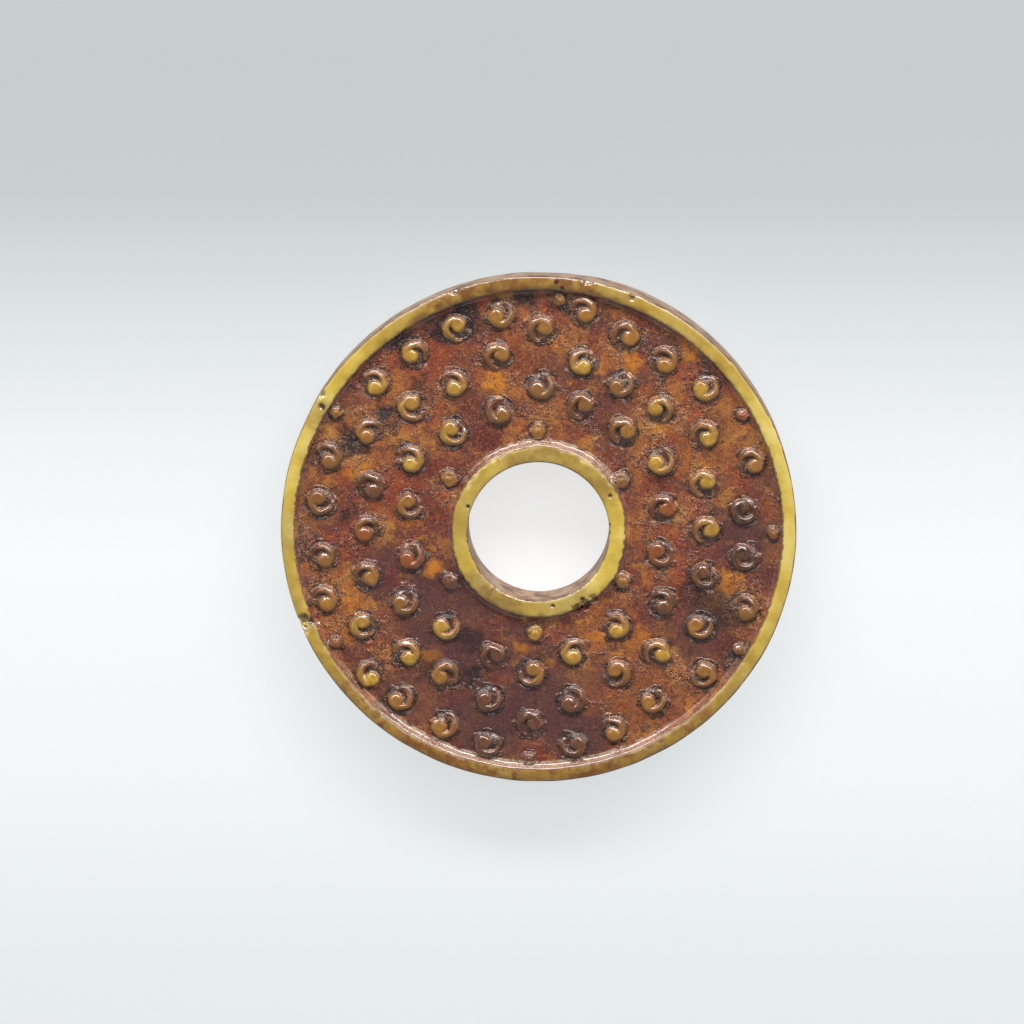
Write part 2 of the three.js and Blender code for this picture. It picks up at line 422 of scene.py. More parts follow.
def comma(x, y):
    """The profile of a comma from 0 to 1 over each point, its fall towards the tip, and how
    strong its colour is. The tip is on +x and the tail runs anticlockwise into the head."""
    radius = np.hypot(x, y)
    angle = np.degrees(np.arctan2(y, x)) % 360
    widening = HEAD_OFFSET + HEAD_RADIUS - CURL_RADIUS
    outside = CURL_RADIUS + widening * np.clip(angle / HEAD_ANGLE, 0, 1) - radius
    narrowing = np.clip(1 - angle / GROOVE_END, 0, 1) ** 2
    inside = radius - CURL_RADIUS + TAIL_WIDTH + (TIP_WIDTH - TAIL_WIDTH) * narrowing
    tip_middle = CURL_RADIUS - TIP_WIDTH / 2
    tip = TIP_WIDTH / 2 - np.hypot(x - tip_middle, y)
    tip = tip / np.where(x > tip_middle, TAIL_SLOPE, GROOVE_SLOPE)
    tail = np.minimum(outside / TAIL_SLOPE, inside / GROOVE_SLOPE)
    tail = np.where(angle <= HEAD_ANGLE, tail, tip)
    turn = math.radians(HEAD_ANGLE)
    head_x, head_y = HEAD_OFFSET * math.cos(turn), HEAD_OFFSET * math.sin(turn)
    head = HEAD_RADIUS - np.hypot(x - head_x, y - head_y)
    head = head / HEAD_SLOPE
    blend = 0.25
    overlap = np.clip(0.5 + (head - tail) / (2 * blend), 0, 1)
    joined = tail + (head - tail) * overlap + blend * overlap * (1 - overlap)
    from_tip = np.where(head >= tail, HEAD_ANGLE, np.where(angle <= HEAD_ANGLE, angle, 0))
    fall = TIP_HEIGHT + (1 - TIP_HEIGHT) * eased(from_tip, 0, 110)
    return joined, fall, 0.2 + 0.8 * eased(from_tip, 50, 215)


def shouldered(share):
    """A form's rise: a steep side, a broad sloping shoulder and a flat top."""
    return np.interp(share, SHOULDER_SHARES, SHOULDER_RISES)


def read_curl(place, x, y, seed):
    """Height, profile and strength of colour of one curl at each point."""
    draw = random.Random(seed)
    size = draw.uniform(0.97, 1.05)
    turn = place["tip"] + math.radians(draw.uniform(-5, 5))
    height = draw.uniform(0.93, 1.03)
    east = x - place["x"] + 0.08 * ripple(x, y, 2.6, seed + 500)
    north = y - place["y"] + 0.08 * ripple(x, y, 2.6, seed + 600)
    across = (east * math.cos(turn) + north * math.sin(turn)) / size
    along = (north * math.cos(turn) - east * math.sin(turn)) / size
    share, fall, strength = comma(across, place["winding"] * along)
    profile = shouldered(share)
    # Painted glow: each top's colour is painted stronger and yellower on its lower side, away from the
    # lamp, and browner towards +y, as light shining through the stone.
    strength = strength * (1 - 0.45 * eased(north, -0.2, 1.6))
    return profile * fall * height, profile, strength


def read_grain(place, x, y, seed):
    """Height, profile and strength of colour of one plain grain at each point."""
    distance = np.hypot(x - place["x"], y - place["y"])
    depth = place["radius"] - distance + 0.12 * ripple(x, y, 1.7, seed + 500)
    profile = shouldered(depth / (GRAIN_SLOPE * place["radius"]))
    return profile * GRAIN_HEIGHT, profile, np.ones_like(x)


def read_carving(x, y, places):
    """The carving over each point: rise, profile, moat, groove and soot_and_shade from 0 to 1,
    where soot_and_shade is grime and painted shade round the carving, and the colour of the tops."""
    rise, profile, moat, groove, soot_and_shade = (np.zeros_like(x) for _ in range(5))
    colour = np.tile(np.array(TINTS["h"]), (len(x), 1))
    nearest = np.full(len(x), np.inf)
    worn_and_unglowing_brown = np.array(WORN_AND_UNGLOWING_BROWN)
    for seed, place in enumerate(places):
        distance = np.hypot(x - place["x"], y - place["y"])
        close = np.flatnonzero(distance < MOAT_RADIUS + 0.8)
        near_x, near_y, near = x[close], y[close], distance[close]
        curl = "winding" in place
        height, form, strength = (read_curl if curl else read_grain)(place, near_x, near_y, seed)
        reach = MOAT_RADIUS if curl else place["radius"] + 0.65
        lip = reach + 0.2 * ripple(near_x, near_y, 2.2, seed + 900)
        worn = np.clip(0.5 + 0.65 * ripple(near_x, near_y, 3.4, seed + 700), 0.05, 1)
        moat[close] = np.maximum(moat[close], (1 - eased(near, lip - MOAT_WALL, lip)) * worn)
        thick = np.clip(0.66 + 0.6 * ripple(near_x, near_y, 2.8, seed + 800), 0, 1)
        # Soot and painted shade round the moat's lip, thick and thin in patches
        sooted_and_shaded = 1 - eased(near, lip + SOOT_AND_SHADE_EDGE[0], lip + SOOT_AND_SHADE_EDGE[1])
        soot_and_shade[close] = np.maximum(soot_and_shade[close], sooted_and_shaded * thick)
        if curl:
            inside = 1 - eased(near, *GROOVE_EDGE)
            groove[close] = np.maximum(groove[close], inside)
            height = np.maximum(height, GROOVE_FLOOR * inside)
        rise[close] = np.maximum(rise[close], height)
        profile[close] = np.maximum(profile[close], form)
        closer = near < nearest[close]
        chosen = close[closer]
        nearest[chosen] = near[closer]
        top = np.array(TINTS[place["tint"]])
        share = strength[closer][:, None]
        # The brown is partly wear towards the tail's tip and partly the painted lack of glow on a top's
        # +y side.
        worn_and_unglowing_top = worn_and_unglowing_brown * top.mean() / USUAL_BRIGHTNESS
        colour[chosen] = worn_and_unglowing_top * (1 - share) + top * share
    return rise, profile, moat, groove, soot_and_shade, colour


def border_depth(x, y):
    """How far each point lies inside the top of a border: negative on slopes and fields."""
    radius, angle = np.hypot(x, y), np.arctan2(y, x)
    _, ring, rim, _ = wander_of_edges(angle)
    return np.maximum(radius - RIM_INNER - rim, RING_OUTER + ring - radius)


def unevenness(x, y, waves):
    """How far the ground stands out at each point, from several ripples together."""
    return sum(height * ripple(x, y, length, seed) for height, length, seed in waves)


def carve_front(places, curls):
    """Lowers moats, raises curls and grains, and breaks the bites out of the front."""
    x, y, z = places.T.copy()
    front = z > THICKNESS / 2 + 1
    field = 1 - eased(border_depth(x, y), -BORDER_SLOPE, -0.2)
    rise, _, moat, *_ = read_carving(x, y, curls)
    ground = z + field * (unevenness(x, y, FRONT_WAVES) - MOAT_DEPTH * moat)
    top = THICKNESS - RELIEF_DROP + 0.03 * ripple(x, y, 3.0, 4)
    carved = np.where(rise > 0, ground + np.maximum(top - ground, 0) * rise, ground)
    carved -= (1 - field) * 0.025 * (1 + ripple(x, y, 4.5, 5))
    for seed, (bite_x, bite_y, reach, depth) in enumerate(BITES):
        ragged = reach * (1 + 0.22 * ripple(x, y, 0.9, 40 + seed))
        share = np.clip(1 - np.hypot(x - bite_x, y - bite_y) / ragged, 0, 1)
        broken = 0.85 + 0.15 * ripple(x, y, 0.6, 70 + seed)
        carved -= depth * np.minimum(1, 2.2 * share) * broken
    z = np.where(front, np.minimum(carved, THICKNESS - CLEARANCE), z)
    return np.stack([x, y, z], 1)


def carve_back(places, grains):
    """Raises plain grains on the sunken field of the underside."""
    x, y, z = places.T.copy()
    back = z < THICKNESS / 2 - 1
    field = eased(z, 0.55, 0.95)
    ground = z + field * unevenness(x, y, BACK_WAVES)
    rise = np.zeros_like(x)
    for seed, grain in enumerate(grains):
        distance = np.hypot(x - grain["x"], y - grain["y"])
        close = np.flatnonzero(distance < grain["radius"] + 0.3)
        height, _, _ = read_grain(grain, x[close], y[close], seed + 200)
        rise[close] = np.maximum(rise[close], height)
    carved = ground + (RELIEF_DROP - ground) * rise
    return np.stack([x, y, np.where(back, np.maximum(carved, CLEARANCE), z)], 1)


def thin_mesh(piece):
    """Brings the piece under its most triangles, from where it is flattest."""
    triangles = sum(len(face.vertices) - 2 for face in piece.data.polygons)
    if triangles <= MOST_TRIANGLES:
        return
    thinner = piece.modifiers.new("fewer faces", "DECIMATE")
    thinner.ratio = MOST_TRIANGLES / triangles
    bpy.ops.object.modifier_apply(modifier=thinner.name)


def write_number(piece, name, values):
    """Keeps one number for each vertex as an attribute of the piece."""
    attribute = piece.data.attributes.new(name, "FLOAT", "POINT")
    attribute.data.foreach_set("value", values.astype(np.float32))


def write_colour(piece, name, colours):
    """Keeps one colour for each vertex as an attribute of the piece."""
    attribute = piece.data.attributes.new(name, "FLOAT_COLOR", "POINT")
    full = np.concatenate([colours, np.ones((len(colours), 1))], 1)
    attribute.data.foreach_set("color", full.astype(np.float32).ravel())


def write_finish_guides(piece, curls):
    """Attributes that lead the finish: relief, groove, soot_and_shade (grime and painted shade), border,
    wall and top_colour.
    """
    x, y, z = vertex_places(piece).T
    _, profile, _, groove, soot_and_shade, colour = read_carving(x, y, curls)
    back_rise = 1 - np.clip(z / FIELD_DEPTH, 0, 1)
    front = z > THICKNESS / 2
    radius = np.hypot(x, y)
    reach = rim_reach(np.arctan2(y, x), z)
    full, gone = WALL_EDGE
    rim_wall = eased(radius, reach - gone, reach - full)
    hole_wall = 1 - eased(radius, HOLE_RADIUS + full, HOLE_RADIUS + gone)
    write_number(piece, "relief", np.where(front, profile, back_rise))
    write_number(piece, "groove", np.where(front, groove, 0))
    write_number(piece, "soot_and_shade", np.where(front, soot_and_shade, 0))
    write_number(piece, "border", np.clip(border_depth(x, y), -3, 3))
    write_number(piece, "wall", np.maximum(rim_wall, hole_wall))
    write_colour(piece, "top_colour", colour)


def on_field(middles):
    """Which of the points belong to a field and not to a border."""
    return border_depth(middles[:, 0], middles[:, 1]) < FIELD_EDGE


def carved_disc():
    """The stone disc with its front and back carved."""
    curls = carved_places()
    grains = [{**curl, "radius": curl.get("radius", GRAIN_RADIUS)} for curl in curls]
    disc = spun_ring("jade_disc")
    spots = [(curl["x"], curl["y"]) for curl in curls]
    middles = face_middles(disc)
    front = middles[:, 2] > FRONT_FIELD - FIELD_MARGIN
    curled = on_field(middles) & near_places(middles, spots, CURL_GROUND)
    bitten = near_places(middles, [bite[:2] for bite in BITES], BITE_GROUND)
    cut_finer(disc, front & (curled | bitten), cuts=3)
    middles = face_middles(disc)
    back = middles[:, 2] < FIELD_DEPTH + FIELD_MARGIN
    grained = on_field(middles) & near_places(middles, spots, GRAIN_GROUND)
    cut_finer(disc, back & grained, cuts=1)
    places = drift_edges(vertex_places(disc))
    places = carve_front(places, curls)
    places = carve_back(places, grains)
    move_vertices(disc, places)
    thin_mesh(disc)
    bpy.ops.object.shade_smooth()
    write_finish_guides(disc, curls)
    return disc


def add_node(tree, kind, inputs=None, **settings):
    """A new node with its settings, its inputs set to values or joined to sockets."""
    node = tree.nodes.new(kind)
    for name, value in settings.items():
        setattr(node, name, value)
    for name, value in (inputs or {}).items():
        if isinstance(value, bpy.types.NodeSocket):
            tree.links.new(value, node.inputs[name])
        else:
            node.inputs[name].default_value = value
    return node


def reckoned(tree, kind, first, second):
    """A Math node on two numbers or sockets."""
    return add_node(tree, "ShaderNodeMath", {0: first, 1: second}, operation=kind).outputs[0]


def share_of(tree, mask, share):
    """A mask made weaker by a number or by another mask."""
    return reckoned(tree, "MULTIPLY", mask, share)


def vector_of(tree, kind, inputs, output="Vector"):
    """A Vector Math node."""
    return add_node(tree, "ShaderNodeVectorMath", inputs, operation=kind).outputs[output]


def mapped(tree, value, low, high, to_low=0.0, to_high=1.0):
    """The value eased from one range into another."""
    inputs = {0: value, 1: low, 2: high, 3: to_low, 4: to_high}
    node = add_node(tree, "ShaderNodeMapRange", inputs, interpolation_type="SMOOTHSTEP")
    return node.outputs[0]


def mixed(tree, share, first, second, blend="MIX"):
    """Two colours mixed by a share."""
    node = add_node(tree, "ShaderNodeMix", {0: share}, data_type="RGBA", blend_type=blend)
    for socket, colour in ((node.inputs[6], first), (node.inputs[7], second)):
        if isinstance(colour, bpy.types.NodeSocket):
            tree.links.new(colour, socket)
        else:
            socket.default_value = (*colour, 1)
    return node.outputs[2]


def noise(tree, vector, size, detail=4.0, roughness=0.55):
    """Cloudy noise whose lumps are about the size, in millimetres."""
    inputs = {"Vector": vector, "Scale": 1 / size, "Detail": detail, "Roughness": roughness}
    return add_node(tree, "ShaderNodeTexNoise", inputs).outputs["Fac"]


def new_group(name, inputs, outputs):
    """An empty shader group with its named sockets, and its input and output nodes."""
    group = bpy.data.node_groups.new(name, "ShaderNodeTree")
    for socket, kind in inputs:
        group.interface.new_socket(socket, in_out="INPUT", socket_type=kind)
    for socket, kind in outputs:
        group.interface.new_socket(socket, in_out="OUTPUT", socket_type=kind)
    return group, group.nodes.new("NodeGroupInput"), group.nodes.new("NodeGroupOutput")


def stain_group():
    """A stained place: full in its middle and gone at its reach."""
    inputs = [("Vector", "NodeSocketVector"), ("Middle", "NodeSocketVector")]
    inputs += [("Reach", "NodeSocketFloat"), ("Strength", "NodeSocketFloat")]
    group, given, result = new_group("stained place", inputs, [("Mask", "NodeSocketFloat")])
    ends = {0: given.outputs["Vector"], 1: given.outputs["Middle"]}
    apart = vector_of(group, "DISTANCE", ends, "Value")
    share = reckoned(group, "DIVIDE", apart, given.outputs["Reach"])
    mask = share_of(group, mapped(group, share, 1.0, 0.35), given.outputs["Strength"])
    group.links.new(mask, result.inputs["Mask"])
    return group


def patch_group():
    """Cloudy patches that cover about a share of the surface."""
    inputs = [("Vector", "NodeSocketVector"), ("Size", "NodeSocketFloat")]
    inputs += [("Threshold", "NodeSocketFloat"), ("Softness", "NodeSocketFloat")]
    group, given, result = new_group("cloudy patches", inputs, [("Mask", "NodeSocketFloat")])
    scale = reckoned(group, "DIVIDE", 1.0, given.outputs["Size"])
    cloud = add_node(
        group, "ShaderNodeTexNoise",
        {"Vector": given.outputs["Vector"], "Scale": scale, "Detail": 5.0, "Roughness": 0.6},
    ).outputs["Fac"]
    high = reckoned(group, "ADD", given.outputs["Threshold"], given.outputs["Softness"])
    mask = mapped(group, cloud, given.outputs["Threshold"], high)
    group.links.new(mask, result.inputs["Mask"])
    return group


def grit_group():
    """Fine grit: dark grains, pale grains and their height."""
    inputs = [("Vector", "NodeSocketVector"), ("Size", "NodeSocketFloat")]
    outputs = [(name, "NodeSocketFloat") for name in ("Dark", "Pale", "Height")]
    group, given, result = new_group("grit", inputs, outputs)
    scale = reckoned(group, "DIVIDE", 1.0, given.outputs["Size"])
    grain = add_node(
        group, "ShaderNodeTexNoise",
        {"Vector": given.outputs["Vector"], "Scale": scale, "Detail": 2.0, "Roughness": 0.6},
    ).outputs["Fac"]
    group.links.new(mapped(group, grain, 0.45, 0.39), result.inputs["Dark"])
    group.links.new(mapped(group, grain, 0.57, 0.64), result.inputs["Pale"])
    group.links.new(grain, result.inputs["Height"])
    return group


# Colours of the ground, and of the dirt and dust in it
PALE_GROUND = (
    (0.34, (0.30, 0.052, 0.026)), (0.45, (0.29, 0.082, 0.036)), (0.55, (0.38, 0.125, 0.038)),
    (0.68, (0.47, 0.21, 0.055)),
)
DEEP_GROUND = (
    (0.34, (0.140, 0.033, 0.026)), (0.5, (0.155, 0.055, 0.042)), (0.66, (0.115, 0.048, 0.028)),
)
RUSSET = (0.36, 0.118, 0.034)
RED = (0.26, 0.045, 0.026)
PLUM = (0.090, 0.038, 0.041)
ORANGE = (0.60, 0.21, 0.022)
AMBER_GLOW = (0.62, 0.24, 0.026)
MOTTLE_DARK = (0.075, 0.024, 0.020)
MOTTLE_PALE = (0.50, 0.20, 0.038)
BLOTCH = (0.060, 0.020, 0.020)
SOIL = (0.024, 0.017, 0.020)
GROOVE_BROWN = (0.115, 0.042, 0.028)
# Grime and painted shade in the hollows round the carving
SOOT_AND_SHADE = (0.020, 0.014, 0.013)
DARK_SPECK = (0.040, 0.016, 0.015)
PALE_SPECK = (0.66, 0.40, 0.20)
CHALK = (0.72, 0.66, 0.60)
# Painted highlight along the foot of the slopes that face the lamp
FOOT_HIGHLIGHT_PAINT = (0.66, 0.50, 0.37)

# Colours of the carving, the borders and the walls
TOP_CLOUD = (0.26, 0.095, 0.028)
SIDE_BROWN = (0.22, 0.062, 0.018)
# Painted light: the paler colour of border slopes that face the lamp
LIT_SLOPE_PAINT = (0.40, 0.25, 0.17)
SLOPE_DARK = (0.15, 0.07, 0.05)
MUSTARD = (
    (0.36, (0.57, 0.39, 0.06)), (0.5, (0.67, 0.475, 0.085)), (0.64, (0.73, 0.57, 0.165)),
)
RIM_BROWN = ((0.20, 0.082, 0.026), (0.285, 0.138, 0.035))
RING_BROWN = (0.25, 0.145, 0.046)
BORDER_FOOT = (0.13, 0.05, 0.024)
BORDER_SPOT = (0.055, 0.020, 0.020)
WALL_STREAKS = (
    (0.34, (0.070, 0.035, 0.022)), (0.46, (0.20, 0.110, 0.060)), (0.57, (0.29, 0.185, 0.120)),
    (0.68, (0.42, 0.18, 0.045)),
)
WALL_TAUPE = (0.29, 0.22, 0.165)
DARK_EDGE_LINE = (0.045, 0.022, 0.015)

# The shader groups, each built once
STAINED_PLACE = stain_group()
CLOUDY_PATCHES = patch_group()
GRIT = grit_group()

# Stained places of the front, as (x, y, reach, strength)
ORANGE_STAINS = (
    (-6.4, 22.9, 2.6, 1.0), (29.8, -7.6, 2.8, 1.0), (-16.6, -5.9, 2.6, 0.9), (-12.9, 36.1, 2.0, 0.8),
    (14.1, 26.9, 3.2, 0.8), (23.3, 28.5, 2.6, 0.8), (-19.9, 1.7, 2.0, 0.6), (3.3, 29.2, 2.5, 0.7),
    (-29.4, -11.1, 3.0, 0.7), (15.9, -17.3, 3.0, 0.6), (25.0, 9.7, 2.4, 0.6), (20.5, -9.3, 1.8, 0.7),
    (-16.9, -20.6, 2.5, 0.6), (-2.9, -19.0, 2.2, 0.6), (9.6, -10.9, 2.0, 0.5), (31.8, 20.7, 2.2, 0.7),
    (7.3, -6.9, 1.6, 0.5), (9.6, -17.3, 2.4, 0.6), (28.4, -26.8, 3.0, 0.6), (-27.7, 9.5, 3.2, 0.8),
)
DARK_STAINS = (
    (-33.4, -16.2, 1.2, 0.9), (-32.4, -17.8, 1.2, 0.9), (-31.6, -19.3, 1.5, 1.0), (-9.9, -23.2, 3.2, 1.0),
    (-21.8, 12.7, 2.2, 0.9), (12.5, 36.2, 2.2, 0.8), (-23.9, -27.1, 2.2, 0.9), (-20.6, 29.1, 2.4, 0.9),
    (-1.8, 36.8, 3.2, 1.0), (3.3, 36.2, 2.4, 0.9), (-28.9, 14.2, 3.6, 1.0), (-27.5, 12.6, 2.2, 0.9),
    (-29.6, 2.4, 2.4, 0.9), (-10.6, -7.8, 2.2, 0.9), (25.2, -9.2, 4.4, 0.7), (-16.9, -22.2, 3.2, 0.8),
    (-10.7, -17.4, 3.0, 0.7), (-23.7, 17.4, 3.2, 1.0), (9.5, 16.0, 2.8, 0.6), (15.6, 28.5, 2.4, 0.7),
    (11.1, -1.4, 2.0, 0.6), (-9.1, -4.6, 1.8, 0.7), (28.3, -12.4, 5.5, 0.8), (-21.3, 29.9, 3.6, 1.0),
    (-15.2, 31.5, 3.4, 1.0), (-11.5, 33.8, 4.0, 1.0), (31.5, -20.0, 5.0, 0.6),
    (-18.5, 22.6, 2.4, 0.7), (-13.2, 18.0, 2.2, 0.6), (9.8, 34.6, 2.0, 0.7), (-25.0, 24.5, 2.4, 0.7),
)
PLUM_STAINS = (
    (0.3, -27.0, 10.0, 0.95), (-8.0, -31.0, 11.0, 0.95), (6.5, -33.0, 8.0, 0.85), (32.1, -1.3, 8.0, 0.9),
    (33.0, 5.0, 4.0, 0.6), (-20.0, -27.0, 8.0, 0.7), (25.0, -16.0, 8.0, 0.8), (-14.0, 33.0, 5.0, 0.6),
    (-15.5, -12.5, 12.0, 0.95), (-24.0, -6.0, 7.0, 0.7), (-34.0, 2.0, 5.0, 0.6), (4.0, 26.0, 5.0, 0.5),
    (12.0, 20.0, 5.0, 0.6), (-31.0, 20.0, 5.0, 0.6), (-12.0, -19.5, 8.0, 0.9), (-4.0, -20.5, 6.5, 0.8),
    (-3.0, -16.5, 4.0, 0.7), (8.0, -24.0, 5.0, 0.6),
)
RED_STAINS = (
    (-29.3, -1.5, 6.0, 0.8), (-21.5, 4.8, 6.0, 0.85), (-17.0, 27.0, 6.0, 0.7), (-30.0, 7.9, 3.5, 0.8),
    (12.6, 1.8, 2.5, 0.7), (-13.7, 1.7, 2.8, 0.7), (-3.6, 29.2, 2.6, 0.6), (18.9, 0.3, 3.0, 0.7),
    (23.5, 5.0, 2.5, 0.6), (-16.9, -9.4, 3.0, 0.6), (3.4, -17.3, 2.5, 0.6), (13.5, -8.0, 3.0, 0.6),
)
RUSSET_STAINS = (
    (14.0, -27.0, 9.0, 0.8), (27.0, 15.0, 9.0, 0.7), (-31.0, -15.0, 5.0, 0.9), (-26.0, 12.0, 7.0, 0.6),
    (0.0, 24.0, 9.0, 0.5), (-17.0, 24.0, 8.0, 0.5), (17.0, 18.0, 7.0, 0.5), (9.0, -15.0, 5.0, 0.6),
)
RIM_STAINS = (
    (-3.0, -40.0, 58.0, 1.0), (-38.0, -6.0, 14.0, 0.4), (-4.0, 40.0, 30.0, 0.9), (22.0, 33.0, 22.0, 0.4),
    (-35.0, 19.0, 4.0, 0.4),
)
RING_STAINS = (
    (7.0, 10.5, 10.0, 0.7), (0.0, 13.0, 10.0, 0.7), (-11.0, 4.0, 12.0, 0.4), (-6.5, -11.0, 9.0, 0.85),
    (3.5, -12.0, 8.0, 0.6),
)
# Where the border slopes face the lamp and are painted paler, as painted light
LIT_SLOPE_PLACES = (
    (0.0, 14.5, 12.0, 1.0), (-8.0, -38.0, 24.0, 1.0), (12.0, -36.0, 14.0, 0.8), (9.0, 11.0, 6.0, 0.8),
)
CHALK_SPOTS = ((-36.4, -15.5, 0.8, 0.95), (-37.2, -14.2, 0.4, 0.6))
BORDER_SPOTS = (
    (-33.4, 19.6, 0.8, 1.0), (11.1, 5.8, 0.5, 1.0), (-10.9, 4.0, 0.5, 1.0), (2.3, -11.7, 0.5, 1.0),
    (6.9, -10.6, 0.6, 1.0), (6.1, -12.2, 1.0, 0.9), (7.6, -11.6, 1.2, 0.9),
    (-36.4, -13.9, 1.1, 1.0), (-35.2, -14.3, 1.1, 1.0), (-34.1, -14.6, 0.9, 1.0),
    (2.7, 39.1, 0.6, 0.9), (3.6, 38.2, 0.5, 0.9), (14.4, 36.8, 0.8, 0.8), (-13.0, 37.7, 0.9, 0.8),
    (-33.4, 21.7, 0.8, 0.7), (7.6, 39.3, 0.8, 0.7), (-10.6, -0.3, 0.8, 1.0), (8.6, -10.6, 0.8, 0.8),
)


def stained(tree, vector, stains):
    """The strongest of a list of stained places, as one mask."""
    mask = 0.0
    for x, y, reach, strength in stains:
        middle = (x, y, THICKNESS)
        inputs = {"Vector": vector, "Middle": middle, "Reach": reach, "Strength": strength}
        place = add_node(tree, "ShaderNodeGroup", inputs, node_tree=STAINED_PLACE)
        mask = reckoned(tree, "MAXIMUM", mask, place.outputs["Mask"])
    return mask


def patches(tree, vector, size, threshold, softness):
    """A mask of cloudy patches."""
    inputs = {"Vector": vector, "Size": size, "Threshold": threshold, "Softness": softness}
    return add_node(tree, "ShaderNodeGroup", inputs, node_tree=CLOUDY_PATCHES).outputs["Mask"]


def grit(tree, vector, size):
    """Dark grains, pale grains and height of grit of the size."""
    inputs = {"Vector": vector, "Size": size}
    node = add_node(tree, "ShaderNodeGroup", inputs, node_tree=GRIT)
    return node.outputs["Dark"], node.outputs["Pale"], node.outputs["Height"]


def attribute(tree, name, output="Fac"):
    """What the piece keeps under the name for each vertex."""
    return add_node(tree, "ShaderNodeAttribute", attribute_name=name).outputs[output]


def colour_ramp(tree, value, stops):
    """A colour for each value, through (place, colour) stops."""
    node = add_node(tree, "ShaderNodeValToRGB", {0: value})
    ramp = node.color_ramp
    while len(ramp.elements) < len(stops):
        ramp.elements.new(0.5)
    for element, (place, colour) in zip(ramp.elements, stops):
        element.position = place
        element.color = (*colour, 1)
    return node.outputs[0]


def swayed_place(tree, spot, size, reach):
    """The place moved about by cloudy noise, so that soft edges run unevenly."""
    inputs = {"Vector": spot, "Scale": 1 / size, "Detail": 4.0}
    cloud = add_node(tree, "ShaderNodeTexNoise", inputs).outputs["Color"]
    sway = vector_of(tree, "SUBTRACT", {0: cloud, 1: (0.5, 0.5, 0.5)})
    sway = vector_of(tree, "SCALE", {0: sway, "Scale": reach})
    return vector_of(tree, "ADD", {0: spot, 1: sway})


def ground_colour(tree, spot, swayed, plum, rough, soot_and_shade, groove, fine):
    """The stained stone between the carving, gritty where it is rough."""
    hue = noise(tree, swayed, 4.2, 4.0, 0.55)
    light = colour_ramp(tree, hue, PALE_GROUND)
    dark = colour_ramp(tree, hue, DEEP_GROUND)
    tone = noise(tree, swayed, 4.6, 6.0, 0.58)
    ground = mixed(tree, mapped(tree, tone, 0.38, 0.60), dark, light)
    for mask, share, colour in (
        (stained(tree, swayed, RUSSET_STAINS), 0.6, RUSSET),
        (stained(tree, swayed, RED_STAINS), 0.8, RED),
        (plum, 0.93, PLUM),
        (stained(tree, swayed, ORANGE_STAINS), 0.92, ORANGE),
    ):
        ground = mixed(tree, share_of(tree, mask, share), ground, colour)
    fine_dark, fine_pale, _ = fine
    mottle_dark, mottle_pale, _ = grit(tree, spot, 0.7)
    calm = mapped(tree, plum, 0.2, 0.9, 1.0, 0.35)
    mottle = share_of(tree, mapped(tree, rough, 0.0, 1.0, 0.3, 0.85), calm)
    glow = share_of(tree, patches(tree, swayed, 2.2, 0.61, 0.1), calm)
    specks = mapped(tree, rough, 0.0, 1.0, 0.38, 0.9)
    specks = share_of(tree, specks, mapped(tree, calm, 0.35, 1.0, 0.5, 1.0))
    for mask, share, colour in (
        (mottle_dark, mottle, MOTTLE_DARK),
        (mottle_pale, mottle, MOTTLE_PALE),
        (glow, 0.65, AMBER_GLOW),
        (patches(tree, spot, 0.9, 0.60, 0.05), 0.5, BLOTCH),
        (stained(tree, swayed, DARK_STAINS), 0.94, SOIL),
        # The grooves and the soot_and_shade mask darken the hollows round the carving: partly grime,
        # partly painted shade.
        (groove, 0.75, GROOVE_BROWN),
        (soot_and_shade, 0.95, SOOT_AND_SHADE),
        (fine_dark, specks, DARK_SPECK),
        (fine_pale, share_of(tree, specks, 0.55), PALE_SPECK),
    ):
        ground = mixed(tree, share_of(tree, mask, share), ground, colour)
    return ground


def border_colour(tree, spot, swayed, border):
    """Translucent mustard stone, browner where it is stained, with a dark line at its foot."""
    streaks = noise(tree, spot, 4.5, 5.0, 0.55)
    gold = colour_ramp(tree, streaks, MUSTARD)
    brown = mixed(tree, patches(tree, spot, 2.4, 0.42, 0.25), *RIM_BROWN)
    from_middle = vector_of(tree, "LENGTH", {0: spot}, "Value")
    on_ring = mapped(tree, from_middle, 25.0, 20.0)
    brown = mixed(tree, on_ring, brown, RING_BROWN)
    on_rim = reckoned(tree, "SUBTRACT", 1.0, on_ring)
    rim_stain = share_of(tree, on_rim, stained(tree, swayed, RIM_STAINS))
    ring_stain = share_of(tree, on_ring, stained(tree, swayed, RING_STAINS))
    browned = reckoned(tree, "ADD", rim_stain, ring_stain)
    cloud = mapped(tree, noise(tree, swayed, 3.2, 5.0), 0.35, 0.62, 0.72, 1.1)
    colour = mixed(tree, share_of(tree, browned, cloud), gold, brown)
    ragged = mapped(tree, noise(tree, spot, 0.7, 3.0), 0.3, 0.7, -0.16, 0.04)
    foot = mapped(tree, reckoned(tree, "ADD", border, ragged), 0.12, -0.1)
    colour = mixed(tree, share_of(tree, foot, 0.85), colour, BORDER_FOOT)
    return mixed(tree, stained(tree, spot, BORDER_SPOTS), colour, BORDER_SPOT)


def wall_colour(tree, spot):
    """The dull brown walls of the hole and of the rim, streaked with taupe and orange; the paler taupe is
    partly the stone's colour and partly a painted reflection.
    """
    streaks = colour_ramp(tree, noise(tree, spot, 2.6, 6.0, 0.62), WALL_STREAKS)
    # Painted reflection: pale taupe patches, partly the stone's own colour
    taupe = share_of(tree, patches(tree, spot, 5.0, 0.5, 0.2), 0.7)
    return mixed(tree, taupe, streaks, WALL_TAUPE)


